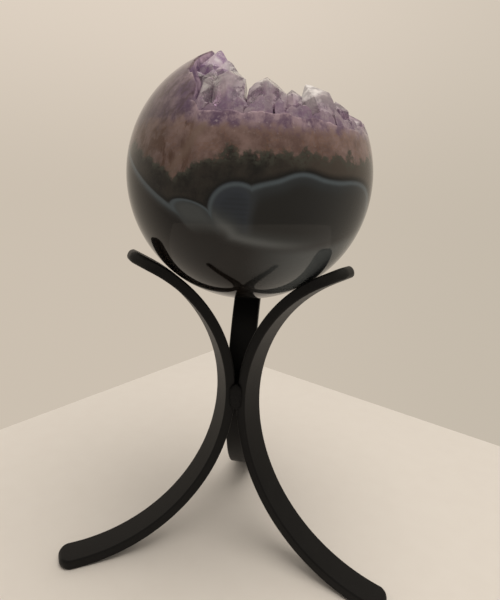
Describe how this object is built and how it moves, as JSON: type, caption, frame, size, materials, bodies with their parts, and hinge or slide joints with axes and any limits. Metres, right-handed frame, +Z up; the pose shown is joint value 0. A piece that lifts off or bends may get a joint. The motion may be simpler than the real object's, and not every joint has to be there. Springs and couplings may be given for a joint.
{
  "type": "amethyst sphere on a tripod stand",
  "caption": "Polished amethyst geode ball with an open crystal druse on top, resting in a black tripod stand of bent flat bars welded at the waist.",
  "frame": {"origin": "on the table, under the middle of the part's outline seen from above", "axes": "+Z up, +Y towards the back leg, -Y towards the viewer's side between the two front legs"},
  "size_m": [0.1486, 0.1358, 0.2229],
  "materials": {
    "black_paint": "satin black paint on flat steel bar",
    "weld_paint": "satin black paint over a rough weld bead",
    "grey_agate": "polished",
    "green_quartz": "polished",
    "pale_quartz": "polished",
    "amethyst": "polished",
    "amethyst_point": "natural crystal faces"
  },
  "bodies": {
    "stand": {"leg_back": "black_paint", "leg_front_left": "black_paint", "leg_front_right": "black_paint", "weld_front": "weld_paint", "weld_back_left": "weld_paint", "weld_back_right": "weld_paint"},
    "ball": {"agate_base": "grey_agate", "green_quartz_band": "green_quartz", "pale_quartz_band": "pale_quartz", "amethyst_crust": "amethyst", "amethyst_point_01": "amethyst_point", "amethyst_point_02": "amethyst_point", "amethyst_point_03": "amethyst_point", "amethyst_point_04": "amethyst_point", "amethyst_point_05": "amethyst_point", "amethyst_point_06": "amethyst_point", "amethyst_point_07": "amethyst_point", "amethyst_point_08": "amethyst_point", "amethyst_point_09": "amethyst_point", "amethyst_point_10": "amethyst_point", "amethyst_point_11": "amethyst_point", "amethyst_point_12": "amethyst_point", "amethyst_point_13": "amethyst_point", "amethyst_point_14": "amethyst_point", "amethyst_point_15": "amethyst_point", "amethyst_point_16": "amethyst_point", "amethyst_point_17": "amethyst_point", "amethyst_point_18": "amethyst_point", "amethyst_point_19": "amethyst_point", "amethyst_point_20": "amethyst_point", "amethyst_point_21": "amethyst_point", "amethyst_point_22": "amethyst_point", "amethyst_point_23": "amethyst_point", "amethyst_point_24": "amethyst_point", "amethyst_point_25": "amethyst_point", "amethyst_point_26": "amethyst_point", "amethyst_point_27": "amethyst_point", "amethyst_point_28": "amethyst_point"}
  },
  "joints": [
    {"name": "sphere_lift", "type": "slide", "parent": "stand", "child": "ball", "axis": [0, 0, 1], "range_m": [0, 0.08]}
  ]
}
